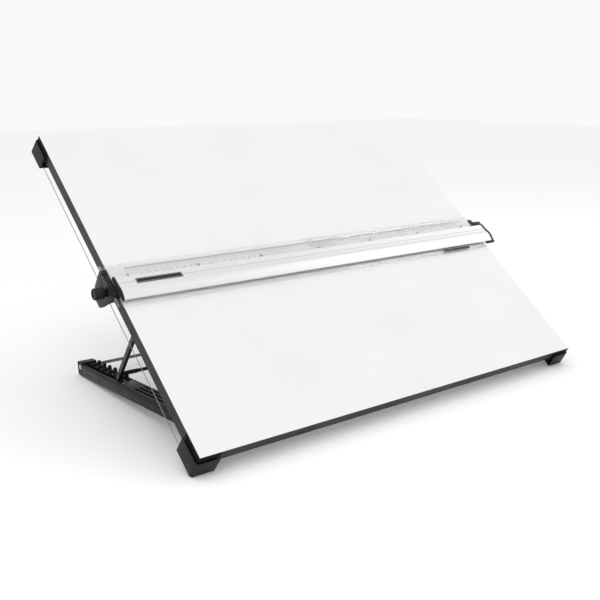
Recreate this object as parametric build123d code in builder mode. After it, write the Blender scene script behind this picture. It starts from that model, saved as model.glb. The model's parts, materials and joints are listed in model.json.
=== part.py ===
from build123d import *
import os
from math import asin, atan2, cos, degrees, hypot, radians, sin, tan

os.makedirs("parts", exist_ok=True)

# Portable drawing board on a folding stand, with a wire-guided parallel rule.
#
# Bench frame of the board: x to the right, y towards the rear edge, z out of the drawing
# surface. The origin is the middle of that surface. Everything is modelled flat in this
# frame, or in the frame of the leg, and is tilted into its standing pose at the end.
# All sizes are in millimetres and all angles in degrees.

# ---- driving dimensions: board ----
board_width = 650.0
board_depth = 530.0
core_thickness = 16.4
laminate = 0.8
edge_band = 2.0
edge_round = 0.6
board_tilt = 37.6

# ---- driving dimensions: corner housings, pulleys and wire ----
housing_length = 28.0
housing_depth = 34.0
outset_top = 3.5
outset_bottom = 6.0
wall_top = 9.0
wall_gap = 1.5
wall_gap_depth = 6.0
end_taper = 3.0
lining_thickness = 0.8
housing_floor = 3.0
foot_height = 32.0
foot_round = 2.4
corner_round = 4.0
chamber_outset = 3.2
boss_radius = 3.4
boss_inset = 8.0
boss_edge = 4.0
side_boss_inset = 6.0
pulley_clearance = 0.4
pulley_inset_y = 12.0
pulley_radius = 8.8
pulley_pitch = 8.2
pulley_width = 3.6
pulley_rim = 0.6
pulley_level_a = 25.1
pulley_level_b = 26.4
pulley_pin = 2.0
pin_collar = 1.2
spoke_hole = 1.1
spoke_count = 5
wire_radius = 0.45
ferrule_length = 12.0
ferrule_radius = 1.2
ferrule_position = 0.6
foot_pad_radius = 5.0
foot_pad_proud = 0.8
foot_pad_inset_x = 17.0
foot_pad_inset_y = 25.0

# ---- driving dimensions: stand ----
leg_inset = 28.5
leg_width = 23.0
leg_top = 5.0
leg_bottom = 12.0
leg_reach = 330.0
leg_hinge_y = 66.0
leg_hinge_drop = 19.0
leg_wall = 2.6
end_reach = 8.0
end_rise = 8.2
end_length = 17.0
end_round = 2.4
sole_length = 13.0
sole_sink = 2.4
sole_proud = 1.0
hinge_pin = 3.0
rod_radius = 2.5
rod_bore = 1.2
rod_recess = 6.0
rod_recess_depth = 1.0
ring_radius = 3.7
ring_thickness = 0.8
slot_count = 3
slot_width = 4.4
slot_start = 20.0
slot_end = 152.0
slot_depth = 11.0
well_start = 192.0
well_end = 318.0
well_depth = 11.0
rack_sink = 0.5
rack_wall = 3.4
middle_rack_offset = 11.0
tooth_count = 6
tooth_pitch = 18.8
tooth_first = 213.0
tooth_radius = 3.3
middle_tooth_tip = 8.5
inner_tooth_tip = 11.0

# ---- driving dimensions: prop ----
prop_hinge_y = 224.0
prop_hinge_drop = 8.0
prop_arm_width = 5.0
prop_arm_depth = 7.0
prop_bar = 2.5
prop_bar_end = 0.6
prop_toe = 8.0
prop_edge_round = 0.8
bar_height = 15.0
shoe_radius = 3.0
shoe_length = 24.0
prop_pin = 2.0
arm_offset = 5.8

# ---- driving dimensions: brackets and screws ----
cheek = 3.0
clip_cheek = 2.0
bracket_plate = 2.5
bracket_length = 44.0
bracket_nose = 4.5
bracket_screw_inset = 6.0
clip_length = 34.0
clip_nose = 2.2
clip_screw_inset = 5.0
plate_corner = 2.0
cheek_spread = 1.6
pin_head = 1.2
screw_radius = 1.5
screw_head = 3.0
screw_head_height = 1.6
screw_bite = 9.0

# ---- driving dimensions: parallel rule ----
rule_front = 216.0
plate_width = 67.0
plate_thickness = 2.7
plate_lift = 1.5
plate_bevel = 8.0
plate_bevel_depth = 1.7
plate_front_bevel = 1.0
plate_left_overhang = 10.0
plate_right_overhang = 1.0
extrusion_front = 8.0
extrusion_width = 34.0
extrusion_height = 5.6
extrusion_wall = 1.2
extrusion_left_gap = 1.5
extrusion_right_overhang = 14.0
nose_height = 2.0
crown_run = 14.0
band_run = 20.0
band_height = 4.4
back_height = 3.6
groove_run = 24.0
groove_width = 1.0
groove_depth = 0.9
end_cap = 3.2
cap_proud = 1.0
guide_outset = 10.0
guide_wall = 5.6
guide_top_front = 16.0
guide_top_length = 45.0
guide_rear_drop = 26.0
guide_foot_front = 36.0
guide_foot_length = 16.0
guide_drop = 41.0
guide_edge = 3.0
guide_flange = 14.0
guide_flange_front = 26.0
guide_flange_length = 27.0
guide_flange_thickness = 2.2
guide_round = 4.0
guide_screw_front = 5.0
guide_screw_rear = 40.0
rim_front_reach = 2.5
rim_front_arm = 4.0
rim_rear_reach = 10.0
rim_rear_arm = 7.0
rim_reach = 19.0
rim_height = 4.0
glide_radius = 5.0
glide_inset = 45.0
glide_run = 6.0
glide_spacing = 22.0
label_length = 64.0
label_width = 8.0
label_thickness = 0.9
label_sink = 0.6
label_start = 26.0
label_front = 28.0
strip_length = 60.0
strip_width = 3.4
strip_thickness = 0.4
strip_end = 43.0
strip_front = 1.4
clamp_jaw = 1.2
clamp_length = 18.0
knob_radius = 7.5
knob_thickness = 12.0
knob_round = 1.2
knob_dish = 5.0
knob_dish_depth = 1.0
knob_drop = 8.6
knob_front = 34.0
hub_radius = 5.5
hub_length = 3.6
brake_screw_radius = 3.0
brake_screw_grip = 7.2
brake_pad_radius = 4.0
brake_pad_thickness = 1.0

# ---- clearances ----
running_fit = 0.05
side_play = 0.4
slide_gap = 0.6
surface_gap = 0.3
press = 0.02

# ---- derived places, board frame ----
board_thickness = core_thickness + 2 * laminate
half_width = board_width / 2
half_depth = board_depth / 2
underside = -board_thickness
foot_level = -foot_height
chamber_floor = foot_level + housing_floor
leg_hinge = (leg_hinge_y - half_depth, underside - leg_hinge_drop)
prop_hinge = (prop_hinge_y - half_depth, underside - prop_hinge_drop)
leg_centre_x = half_width - leg_inset - leg_width / 2
arm_centre_x = half_width - leg_inset - arm_offset
rule_y = rule_front - half_depth
plate_top = plate_lift + plate_thickness
pulley_inset = pulley_radius + pulley_clearance - chamber_outset
pulley_x = half_width - pulley_inset
pulley_y = half_depth - pulley_inset_y

# ---- derived stand angles ----
# The front feet stand on the round of their lower front edge, the legs on the rounded
# heels of their rubber soles, so the hinge's height above the table gives their slope.
tilt = radians(board_tilt)


def height(y, z):
    """Height of a board-frame point above the board's centre when the board is tilted."""
    return y * sin(tilt) + z * cos(tilt)


flare = degrees(atan2(outset_bottom - outset_top, foot_height - wall_top))
foot_edge_y = -half_depth - outset_bottom + foot_round / tan(radians((90 - flare) / 2))
table_level = height(foot_edge_y, foot_level + foot_round) - foot_round
hinge_height = height(*leg_hinge) - table_level
heel_y = leg_reach + end_reach - end_round
heel_drop = leg_bottom + sole_proud - end_round
heel_angle = degrees(atan2(heel_drop, heel_y))
leg_slope = degrees(asin((hinge_height - end_round) / hypot(heel_y, heel_drop))) - heel_angle
leg_angle = board_tilt + leg_slope

# The prop hangs square to the board at rest. Its length puts the bar at bar_height above
# the line of the leg, which clears the rack's teeth over the whole fold.
prop_offset = prop_hinge[0] - leg_hinge[0]
prop_lift = prop_hinge[1] - leg_hinge[1]
prop_hinge_height = prop_offset * sin(radians(leg_angle)) + prop_lift * cos(radians(leg_angle))
prop_length = (prop_hinge_height - bar_height) / cos(radians(leg_angle))

pieces = {}


def keep(name, part, frame="board"):
    """Hold a finished piece with the frame that it was modelled in."""
    part.label = name
    pieces[name] = (part, frame)


def left_right(part):
    """A left piece and its mirrored right twin as one part of separate solids."""
    return part + mirror(part, about=Plane.YZ)


# =====================================================================
# Board: particle-board core, laminate on both faces, banded edges
# =====================================================================

housing_screws = [
    (housing_length - boss_inset, boss_edge),
    (side_boss_inset, housing_depth - boss_inset),
]
corner_points = [
    (sx * (half_width - x), sy * (half_depth - y))
    for sx in (-1, 1) for sy in (-1, 1) for x, y in housing_screws
]
bracket_points = [
    (sx * leg_centre_x, leg_hinge[0] + dy)
    for sx in (-1, 1)
    for dy in (bracket_screw_inset - bracket_length / 2, bracket_length / 2 - bracket_screw_inset)
]
clip_points = [
    (sx * arm_centre_x, prop_hinge[0] + dy)
    for sx in (-1, 1)
    for dy in (clip_screw_inset - clip_length / 2, clip_length / 2 - clip_screw_inset)
]
screw_points = corner_points + bracket_points + clip_points
pin_points = [(sx * pulley_x, sy * pulley_y) for sx in (-1, 1) for sy in (-1, 1)]


def board_layer(top, bottom, band):
    """A flat layer of the board, in by a band's width, drilled from below for the screws."""
    with BuildPart() as layer:
        with BuildSketch(Plane.XY.offset(bottom)):
            Rectangle(board_width - 2 * band, board_depth - 2 * band)
        extrude(amount=top - bottom)
        if bottom < underside + screw_bite:
            with BuildSketch(Plane.XY.offset(underside)):
                with Locations(*screw_points):
                    Circle(screw_radius + press)
                with Locations(*pin_points):
                    Circle(pulley_pin + press)
            extrude(amount=screw_bite, mode=Mode.SUBTRACT)
    return layer.part


# The top laminate lies over the edge bands, the core and the back laminate between them.
keep("top_laminate", board_layer(0, -laminate, 0))
keep("board_core", board_layer(-laminate, -laminate - core_thickness, edge_band))
keep("back_laminate", board_layer(underside + laminate, underside, edge_band))


def side_band():
    """Left edge band, between the front and rear bands."""
    with BuildPart() as band:
        with BuildSketch(Plane.XZ):
            with Locations((-half_width, -laminate)):
                Rectangle(edge_band, board_thickness - laminate, align=(Align.MIN, Align.MAX))
        extrude(amount=half_depth - edge_band, both=True)
        outer = band.faces().sort_by(Axis.X)[0].edges().filter_by(Axis.Y)
        fillet(outer.sort_by(Axis.Z)[0], edge_round)
    return band.part


def end_band():
    """Front edge band, over the full width."""
    with BuildPart() as band:
        with BuildSketch(Plane.YZ):
            with Locations((-half_depth, -laminate)):
                Rectangle(edge_band, board_thickness - laminate, align=(Align.MIN, Align.MAX))
        extrude(amount=half_width, both=True)
        outer = band.faces().sort_by(Axis.Y)[0].edges().filter_by(Axis.X)
        fillet(outer.sort_by(Axis.Z)[0], edge_round)
    return band.part


left_band = side_band()
front_band = end_band()
keep("edge_band_left", left_band)
keep("edge_band_right", mirror(left_band, about=Plane.YZ))
keep("edge_band_front", front_band)
keep("edge_band_rear", mirror(front_band, about=Plane.XZ))

# =====================================================================
# Corner housings, pulleys, pins and the motion wire
# =====================================================================


def corner_outline(outset, shorten):
    """Plan of the front-left housing, its outer corner on the board's corner."""
    with Locations((-half_width - outset, -half_depth - outset)):
        Rectangle(
            housing_length + outset - shorten, housing_depth + outset - shorten,
            align=(Align.MIN, Align.MIN),
        )


def round_corner(sketch, radius):
    """Round the outer corner of the front-left housing's plan."""
    fillet(sketch.vertices().sort_by(lambda v: v.X + v.Y)[0], radius)


def corner_housing():
    """Front-left housing: a flared wall outside a narrow gap, a foot and a pulley chamber."""
    x0 = -half_width
    y0 = -half_depth
    gap_outset = lining_thickness + wall_gap
    with BuildPart() as housing:
        with BuildSketch(Plane.XY.offset(-wall_top)) as rim:
            corner_outline(outset_top, 0)
            round_corner(rim, corner_round)
        with BuildSketch(Plane.XY.offset(foot_level)) as sole:
            corner_outline(outset_bottom, end_taper)
            round_corner(sole, corner_round)
        loft()
        fillet(housing.faces().sort_by(Axis.Z)[0].edges(), foot_round)
        # narrow gap between the outer wall and the wall on the board's edge
        with BuildSketch(Plane.XY.offset(-wall_top)) as gap_plan:
            corner_outline(gap_outset, -gap_outset)
            round_corner(gap_plan, corner_round - outset_top + gap_outset)
        extrude(amount=-wall_gap_depth, mode=Mode.SUBTRACT)
        with BuildSketch(Plane.XY.offset(-wall_top)):
            corner_outline(lining_thickness, end_taper)
        extrude(amount=underside + wall_top)
        # room for the board's corner
        with BuildSketch(Plane.XY):
            with Locations((x0, y0)):
                Rectangle(2 * housing_length, 2 * housing_depth, align=(Align.MIN, Align.MIN))
        extrude(amount=underside, mode=Mode.SUBTRACT)
        # pulley chamber, open towards the middle of the board
        with BuildSketch(Plane.XY.offset(chamber_floor)):
            with Locations((x0 - chamber_outset, y0 - chamber_outset)):
                Rectangle(2 * housing_length, 2 * housing_depth, align=(Align.MIN, Align.MIN))
        extrude(amount=underside - chamber_floor, mode=Mode.SUBTRACT)
        # screw bosses up to the board's underside
        with BuildSketch(Plane.XY.offset(chamber_floor)):
            with Locations(*[(x0 + x, y0 + y) for x, y in housing_screws]):
                Circle(boss_radius)
        extrude(amount=underside - chamber_floor)
        # countersunk screw holes and the hole of the pulley pin
        with BuildSketch(Plane.XY.offset(foot_level)):
            with Locations(*[(x0 + x, y0 + y) for x, y in housing_screws]):
                Circle(screw_radius + press)
            with Locations((x0 + pulley_inset, y0 + pulley_inset_y)):
                Circle(pulley_pin + press)
        extrude(amount=foot_height, mode=Mode.SUBTRACT)
        with BuildSketch(Plane.XY.offset(foot_level)):
            with Locations(*[(x0 + x, y0 + y) for x, y in housing_screws]):
                Circle(screw_head + press)
            with Locations((x0 + pulley_inset, y0 + pulley_inset_y)):
                Circle(screw_head + press)
        extrude(amount=screw_head_height, mode=Mode.SUBTRACT)
    return housing.part


front_left = corner_housing()
front_right = mirror(front_left, about=Plane.YZ)
keep("corner_housing_front_left", front_left)
keep("corner_housing_front_right", front_right)
keep("corner_housing_rear_left", mirror(front_left, about=Plane.XZ))
keep("corner_housing_rear_right", mirror(front_right, about=Plane.XZ))


def corner_lining():
    """Front-left lining: a thin rubber strip on the board's edges above the housing."""
    with BuildPart() as lining:
        with BuildSketch(Plane.XY.offset(-laminate)):
            corner_outline(lining_thickness, 0)
            with Locations((-half_width, -half_depth)):
                Rectangle(2 * housing_length, 2 * housing_depth,
                          align=(Align.MIN, Align.MIN), mode=Mode.SUBTRACT)
        extrude(amount=laminate - wall_top)
    return lining.part


lining_front_left = corner_lining()
lining_front_right = mirror(lining_front_left, about=Plane.YZ)
keep("corner_lining_front_left", lining_front_left)
keep("corner_lining_front_right", lining_front_right)
keep("corner_lining_rear_left", mirror(lining_front_left, about=Plane.XZ))
keep("corner_lining_rear_right", mirror(lining_front_right, about=Plane.XZ))


def pulley(x, y, level):
    """A grooved pulley with lightening holes, lying in the plane of the wire."""
    groove = pulley_pitch - wire_radius - surface_gap
    lip = pulley_width / 2 - pulley_rim
    root = wire_radius + surface_gap
    with BuildPart() as wheel:
        with BuildSketch(Plane(origin=(x, y, -level), x_dir=(1, 0, 0), z_dir=(0, -1, 0))):
            with BuildLine():
                Polyline(
                    (pulley_pin + running_fit, -pulley_width / 2),
                    (pulley_radius, -pulley_width / 2),
                    (pulley_radius, -lip),
                    (groove, -root),
                    (groove, root),
                    (pulley_radius, lip),
                    (pulley_radius, pulley_width / 2),
                    (pulley_pin + running_fit, pulley_width / 2),
                    close=True,
                )
            make_face()
        revolve(axis=Axis((x, y, 0), (0, 0, 1)))
        with BuildSketch(Plane.XY.offset(-level - pulley_width / 2)):
            with Locations((x, y)):
                with PolarLocations((pulley_pin + groove) / 2, spoke_count):
                    Circle(spoke_hole)
        extrude(amount=pulley_width, mode=Mode.SUBTRACT)
    return wheel.part


def pulley_axle(x, y, level):
    """Headed pin with a collar above and below its pulley."""
    collar = pulley_pin + pin_collar
    upper = -level + pulley_width / 2 + surface_gap
    lower = -level - pulley_width / 2 - surface_gap
    with BuildPart() as pin:
        with BuildSketch(Plane.XY.offset(foot_level + press)):
            with Locations((x, y)):
                Circle(screw_head)
        extrude(amount=screw_head_height - 2 * press)
        with BuildSketch(Plane.XY.offset(foot_level + press)):
            with Locations((x, y)):
                Circle(pulley_pin)
        extrude(amount=foot_height - board_thickness + screw_bite - 2 * press)
        with BuildSketch(Plane.XY.offset(chamber_floor)):
            with Locations((x, y)):
                Circle(collar)
        extrude(amount=lower - chamber_floor)
        with BuildSketch(Plane.XY.offset(upper)):
            with Locations((x, y)):
                Circle(collar)
        extrude(amount=underside - upper)
    return pin.part


# The wire's two diagonals cross under the board, so they lie at two levels.
pulley_places = {
    "front_left": (-pulley_x, -pulley_y, pulley_level_b),
    "rear_left": (-pulley_x, pulley_y, pulley_level_a),
    "front_right": (pulley_x, -pulley_y, pulley_level_a),
    "rear_right": (pulley_x, pulley_y, pulley_level_b),
}
axles = Part()
for place, (x, y, level) in pulley_places.items():
    keep("pulley_" + place, pulley(x, y, level))
    axles = axles + pulley_axle(x, y, level)
keep("pulley_pins", axles)

# Each diagonal leaves one pulley and meets the opposite one on its other side, so it
# passes through the middle of the board. Corners are where it meets the side runs.
run_x = pulley_x + pulley_pitch
centre_line = atan2(pulley_y, pulley_x)
diagonal_angle = centre_line + asin(pulley_pitch / hypot(pulley_x, pulley_y))
corner_y = run_x * tan(diagonal_angle)
middle_level = -(pulley_level_a + pulley_level_b) / 2
half_routes = (
    [(-run_x, 0, middle_level), (-run_x, corner_y, -pulley_level_a),
     (run_x, -corner_y, -pulley_level_a), (run_x, 0, middle_level)],
    [(run_x, 0, middle_level), (run_x, corner_y, -pulley_level_b),
     (-run_x, -corner_y, -pulley_level_b), (-run_x, 0, middle_level)],
)
wire_length = 0
with BuildPart() as motion_wire:
    for points in half_routes:
        with BuildLine() as half_route:
            FilletPolyline(*points, radius=pulley_pitch)
        route = half_route.wires()[0]
        wire_length += route.length
        with BuildSketch(Plane(origin=route @ 0, z_dir=route % 0)):
            Circle(wire_radius)
        sweep(path=route)
keep("motion_wire", motion_wire.part)

# The crimped joint of the wire lies on the lower diagonal.
ferrule_x = half_width * ferrule_position
ferrule_place = (ferrule_x, ferrule_x * tan(diagonal_angle), -pulley_level_b)
diagonal_direction = (cos(diagonal_angle), sin(diagonal_angle), 0)
with BuildPart() as wire_ferrule:
    with BuildSketch(Plane(origin=ferrule_place, z_dir=diagonal_direction)):
        Circle(ferrule_radius)
        Circle(wire_radius + press, mode=Mode.SUBTRACT)
    extrude(amount=ferrule_length / 2, both=True)
keep("wire_ferrule", wire_ferrule.part)

pad_span_x = board_width - 2 * foot_pad_inset_x
pad_span_y = board_depth - 2 * foot_pad_inset_y
with BuildPart() as foot_pads:
    with BuildSketch(Plane.XY.offset(foot_level - foot_pad_proud)):
        with GridLocations(pad_span_x, pad_span_y, 2, 2):
            Circle(foot_pad_radius)
    extrude(amount=foot_pad_proud)
keep("foot_pads", foot_pads.part)


def countersunk_screws(points, head_level):
    """Screws driven up into the board; head_level is the underside of their heads."""
    with BuildPart() as screws:
        with BuildSketch(Plane.XY.offset(head_level + press)):
            with Locations(*points):
                Circle(screw_head)
        extrude(amount=screw_head_height - 2 * press)
        with BuildSketch(Plane.XY.offset(head_level + press)):
            with Locations(*points):
                Circle(screw_radius)
        extrude(amount=underside - head_level + screw_bite - 2 * press)
    return screws.part


keep("corner_screws", countersunk_screws(corner_points, foot_level))

# =====================================================================
# Hinge brackets under the board
# =====================================================================


def clevis(centre_x, hinge, inner_width, wall, length, screw_inset, nose, bore, plate):
    """A screwed-down plate with two drilled cheeks that hold a hinge pin along x."""
    hinge_y, hinge_z = hinge
    outer_width = inner_width + 2 * wall
    with BuildPart() as bracket:
        with BuildSketch(Plane.XY.offset(underside - plate)):
            with Locations((centre_x, hinge_y)):
                RectangleRounded(outer_width, length, plate_corner)
        extrude(amount=plate)
        for side in (-1, 1):
            cheek_x = centre_x + side * (inner_width + wall) / 2
            with BuildSketch(Plane.YZ.offset(cheek_x)):
                with BuildLine():
                    Polyline(
                        (hinge_y - cheek_spread * nose, underside - plate),
                        (hinge_y - nose, hinge_z),
                        (hinge_y + nose, hinge_z),
                        (hinge_y + cheek_spread * nose, underside - plate),
                        close=True,
                    )
                make_face()
                with Locations((hinge_y, hinge_z)):
                    Circle(nose)
            extrude(amount=wall / 2, both=True)
        with BuildSketch(Plane.YZ.offset(centre_x)):
            with Locations((hinge_y, hinge_z)):
                Circle(bore)
        extrude(amount=outer_width, both=True, mode=Mode.SUBTRACT)
        hole_reach = length / 2 - screw_inset
        hole_points = [(centre_x, hinge_y - hole_reach), (centre_x, hinge_y + hole_reach)]
        with BuildSketch(Plane.XY.offset(underside - plate)):
            with Locations(*hole_points):
                Circle(screw_radius + press)
        extrude(amount=plate, mode=Mode.SUBTRACT)
        with BuildSketch(Plane.XY.offset(underside - plate)):
            with Locations(*hole_points):
                Circle(screw_head + press)
        extrude(amount=screw_head_height, mode=Mode.SUBTRACT)
    return bracket.part


def hinge_pins(centre_x, hinge, radius, width):
    """The left and right pins of a hinge, each with a head at both ends."""
    hinge_y, hinge_z = hinge
    with BuildPart() as pins:
        with BuildSketch(Plane.YZ.offset(-centre_x)):
            with Locations((hinge_y, hinge_z)):
                Circle(radius)
        extrude(amount=width / 2 + pin_head, both=True)
        for side in (-1, 1):
            head_x = -centre_x + side * (width + pin_head) / 2
            with BuildSketch(Plane.YZ.offset(head_x)):
                with Locations((hinge_y, hinge_z)):
                    Circle(radius + pin_head)
            extrude(amount=pin_head / 2, both=True)
    return pins.part


leg_slot = leg_width + 2 * side_play
arm_slot = prop_arm_width + 2 * side_play
leg_bracket_left = clevis(
    -leg_centre_x, leg_hinge, leg_slot, cheek, bracket_length, bracket_screw_inset,
    hinge_pin + bracket_nose, hinge_pin + press, bracket_plate,
)
prop_clip_left = clevis(
    -arm_centre_x, prop_hinge, arm_slot, clip_cheek, clip_length, clip_screw_inset,
    prop_pin + clip_nose, prop_pin + press, clip_cheek,
)
leg_pin_left = hinge_pins(leg_centre_x, leg_hinge, hinge_pin, leg_slot + 2 * cheek)
prop_pin_left = hinge_pins(arm_centre_x, prop_hinge, prop_pin, arm_slot + 2 * clip_cheek)
keep("leg_bracket_left", leg_bracket_left)
keep("leg_bracket_right", mirror(leg_bracket_left, about=Plane.YZ))
keep("prop_clip_left", prop_clip_left)
keep("prop_clip_right", mirror(prop_clip_left, about=Plane.YZ))
keep("leg_hinge_pins", left_right(leg_pin_left))
keep("prop_hinge_pins", left_right(prop_pin_left))
leg_bracket_screws = countersunk_screws(bracket_points, underside - bracket_plate)
clip_screws = countersunk_screws(clip_points, underside - clip_cheek)
keep("bracket_screws", leg_bracket_screws + clip_screws)

# =====================================================================
# Stand: two moulded legs joined by a steel rod
# Leg frame: origin on the hinge axis in the middle of the board, y along the leg
# =====================================================================


near_face = -half_width + leg_inset
rod_place = (leg_reach, 0)
racks = (
    (near_face + middle_rack_offset, middle_tooth_tip),
    (near_face + leg_width - rack_wall, inner_tooth_tip),
)


def sole_block(depth, proud):
    """Section of the sole under the leg's rear end, its heel rounded."""
    with Locations((leg_reach + end_reach, -leg_bottom - proud)):
        Rectangle(sole_length, depth + proud, align=(Align.MAX, Align.MIN))


def stand_leg():
    """Left leg: a ribbed bar with two toothed racks in a well and a square rear end."""
    rib = (leg_width - 2 * leg_wall - slot_count * slot_width) / (slot_count - 1)
    front_round = (leg_top + leg_bottom) / 2
    with BuildPart() as leg:
        with BuildSketch(Plane.YZ.offset(near_face)):
            with Locations((0, -leg_bottom)):
                Rectangle(leg_reach, leg_top + leg_bottom, align=(Align.MIN, Align.MIN))
            with Locations((0, (leg_top - leg_bottom) / 2)):
                Circle(front_round)
        extrude(amount=leg_width)
        # square rear end round the rod
        with BuildSketch(Plane.YZ.offset(near_face)) as rear_end:
            with Locations((leg_reach + end_reach, -leg_bottom)):
                Rectangle(end_length, leg_bottom + end_rise, align=(Align.MAX, Align.MIN))
            fillet(rear_end.vertices().group_by(Axis.X)[-1], end_round)
        extrude(amount=leg_width)
        # long slots in the front half
        with BuildSketch(Plane.XY.offset(leg_top)):
            with Locations((near_face + leg_width / 2, (slot_start + slot_end) / 2)):
                with GridLocations(slot_width + rib, 0, slot_count, 1):
                    Rectangle(slot_width, slot_end - slot_start)
        extrude(amount=-slot_depth, mode=Mode.SUBTRACT)
        # open well between the side walls
        with BuildSketch(Plane.XY.offset(leg_top)):
            with Locations((near_face + leg_wall, well_start)):
                Rectangle(
                    leg_width - 2 * leg_wall, well_end - well_start, align=(Align.MIN, Align.MIN)
                )
        extrude(amount=-well_depth, mode=Mode.SUBTRACT)
        # two racks: low walls with round-topped teeth
        for rack_x, tip in racks:
            with BuildSketch(Plane.YZ.offset(rack_x)):
                with Locations((well_start, leg_top - rack_sink)):
                    Rectangle(well_end - well_start, well_depth, align=(Align.MIN, Align.MAX))
                for index in range(tooth_count):
                    tooth_y = tooth_first + index * tooth_pitch
                    with Locations((tooth_y, tip - tooth_radius)):
                        Circle(tooth_radius)
                        Rectangle(2 * tooth_radius, tip, align=(Align.CENTER, Align.MAX))
            extrude(amount=rack_wall)
        # bores of the hinge pin and of the rod, and the recess of the rod's ring
        with BuildSketch(Plane.YZ.offset(near_face)):
            Circle(hinge_pin + running_fit)
            with Locations(rod_place):
                Circle(rod_radius + press)
        extrude(amount=leg_width, mode=Mode.SUBTRACT)
        with BuildSketch(Plane.YZ.offset(near_face)):
            with Locations(rod_place):
                Circle(rod_recess)
        extrude(amount=rod_recess_depth, mode=Mode.SUBTRACT)
        # seat of the rubber sole between the side walls
        with BuildSketch(Plane.YZ.offset(near_face + leg_wall)):
            sole_block(sole_sink, sole_proud)
        extrude(amount=leg_width - 2 * leg_wall, mode=Mode.SUBTRACT)
    return leg.part


def leg_sole():
    """Rubber sole let into the underside of the left leg's rear end."""
    with BuildPart() as sole:
        with BuildSketch(Plane.YZ.offset(near_face + leg_wall)) as section:
            sole_block(sole_sink, sole_proud)
            fillet(section.vertices().sort_by(lambda v: v.X - v.Y)[-1], end_round)
        extrude(amount=leg_width - 2 * leg_wall)
    return sole.part


leg_left = stand_leg()
sole_left = leg_sole()
keep("stand_leg_left", leg_left, "leg")
keep("stand_leg_right", mirror(leg_left, about=Plane.YZ), "leg")
keep("leg_sole_left", sole_left, "leg")
keep("leg_sole_right", mirror(sole_left, about=Plane.YZ), "leg")

with BuildPart() as cross_rod:
    with BuildSketch(Plane.YZ):
        with Locations(rod_place):
            Circle(rod_radius)
            Circle(rod_bore, mode=Mode.SUBTRACT)
    extrude(amount=-near_face - rod_recess_depth, both=True)
keep("cross_rod", cross_rod.part, "leg")

with BuildPart() as rod_ring:
    with BuildSketch(Plane.YZ.offset(near_face + rod_recess_depth)):
        with Locations(rod_place):
            Circle(ring_radius)
            Circle(rod_bore, mode=Mode.SUBTRACT)
    extrude(amount=-ring_thickness)
keep("rod_rings", left_right(rod_ring.part), "leg")

# =====================================================================
# Prop: two straps and a bar that rests in the racks
# =====================================================================


def prop_arm():
    """Left strap, square to the board, with an eye at the top and a toe below the bar."""
    hinge_y, hinge_z = prop_hinge
    toe_level = hinge_z - prop_length - prop_toe
    with BuildPart() as arm:
        with BuildSketch(Plane.YZ.offset(-arm_centre_x)):
            with Locations((hinge_y, (hinge_z + toe_level) / 2)):
                Rectangle(prop_arm_depth, hinge_z - toe_level)
            with Locations((hinge_y, hinge_z), (hinge_y, toe_level)):
                Circle(prop_arm_depth / 2)
        extrude(amount=prop_arm_width / 2, both=True)
        with BuildSketch(Plane.YZ.offset(-arm_centre_x)):
            with Locations((hinge_y, hinge_z)):
                Circle(prop_pin + running_fit)
            with Locations((hinge_y, hinge_z - prop_length)):
                Circle(prop_bar + press)
        extrude(amount=prop_arm_width, both=True, mode=Mode.SUBTRACT)
        long_edges = arm.edges().filter_by(Axis.Z).filter_by(lambda e: e.length > prop_length / 2)
        fillet(long_edges, prop_edge_round)
    return arm.part


arm_left = prop_arm()
keep("prop_arm_left", arm_left)
keep("prop_arm_right", mirror(arm_left, about=Plane.YZ))

bar_centre = (prop_hinge[0], prop_hinge[1] - prop_length)
with BuildPart() as prop_cross_bar:
    with BuildSketch(Plane.YZ):
        with Locations(bar_centre):
            Circle(prop_bar)
    extrude(amount=arm_centre_x + prop_arm_width / 2 + prop_bar_end, both=True)
keep("prop_bar", prop_cross_bar.part)

with BuildPart() as bar_shoe:
    with BuildSketch(Plane.YZ.offset(-arm_centre_x + prop_arm_width / 2)):
        with Locations(bar_centre):
            Circle(shoe_radius)
            Circle(prop_bar + press, mode=Mode.SUBTRACT)
    extrude(amount=shoe_length)
keep("prop_bar_shoes", left_right(bar_shoe.part))

# =====================================================================
# Parallel rule
# =====================================================================

plate_left = -half_width - plate_left_overhang
plate_right = half_width + plate_right_overhang
extrusion_left = -half_width + extrusion_left_gap
extrusion_right = half_width + extrusion_right_overhang
band_y = rule_y + extrusion_front
band_slope = (band_height - back_height) / (extrusion_width - band_run)
label_y = rule_y + label_front + label_width / 2
label_level = plate_top + back_height + band_slope * (band_y + extrusion_width - label_y)
label_plane = Plane(
    origin=(-half_width + label_start + label_length / 2, label_y, label_level),
    x_dir=(1, 0, 0),
    z_dir=(0, band_slope, 1),
)


def rule_outline(grow):
    """Section of the aluminium rule on the clear plate: round front, crown and flat band."""
    front = band_y - grow
    back = band_y + extrusion_width + grow
    nose = (front, plate_top + nose_height)
    crown = (band_y + crown_run, plate_top + extrusion_height + grow)
    band = (band_y + band_run, plate_top + band_height + grow)
    with BuildLine() as outline:
        Line((front, plate_top), nose)
        TangentArc(crown, nose, tangent=(-1, 0))
        Line(crown, band)
        Line(band, (back, plate_top + back_height + grow))
        Line((back, plate_top + back_height + grow), (back, plate_top))
        Line((back, plate_top), (front, plate_top))
    return outline.edges()


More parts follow.
